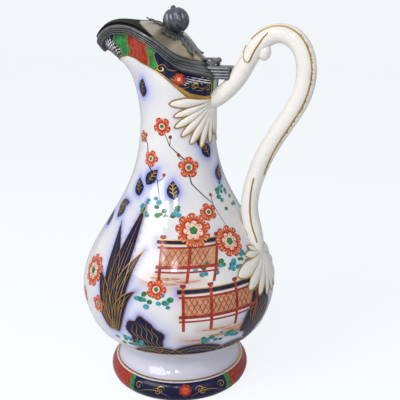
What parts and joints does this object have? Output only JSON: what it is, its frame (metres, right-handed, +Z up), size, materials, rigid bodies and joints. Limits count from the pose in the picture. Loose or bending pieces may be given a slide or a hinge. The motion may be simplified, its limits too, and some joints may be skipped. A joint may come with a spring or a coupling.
{
  "type": "pitcher",
  "caption": "Tall pear-shaped glazed jug on a rolled foot, with a spouted mouth in a reeded pewter collar, a hinged pewter lid with a fruit finial and a high scroll handle.",
  "frame": {"origin": "centre of the foot, on the table", "axes": "+Z up, +X towards the handle, -X towards the spout"},
  "size_m": [0.1724, 0.146, 0.2815],
  "materials": {
    "glazed_earthenware": "glossy white glaze with painted enamels and gilt lines",
    "pewter": "tarnished pewter, satin",
    "plaster": "matt"
  },
  "bodies": {
    "jug": {"foot_ring": "glazed_earthenware", "jug_body": "glazed_earthenware", "handle": "glazed_earthenware", "handle_bud": "glazed_earthenware", "rim_bedding": "plaster", "rim_collar": "pewter", "hinge_lug": "pewter", "hinge_pin": "pewter", "neck_leaf_near": "glazed_earthenware", "neck_leaf_far": "glazed_earthenware", "base_leaf": "glazed_earthenware"},
    "lid": {"lid_cover": "pewter", "lid_bezel": "pewter", "lid_strap": "pewter", "finial_calyx": "pewter", "finial_fruit": "pewter", "finial_tip": "pewter", "finial_stud": "pewter", "finial_nut": "pewter", "lid_leaf_front": "pewter", "lid_leaf_near": "pewter", "lid_leaf_far": "pewter", "lid_leaf_rear_near": "pewter", "lid_leaf_rear_far": "pewter"}
  },
  "joints": [
    {"name": "lid_hinge", "type": "hinge", "parent": "jug", "child": "lid", "pos_m": [0.029, 0, 0.24234], "axis": [0, 1, 0], "range_deg": [0, 80]}
  ]
}
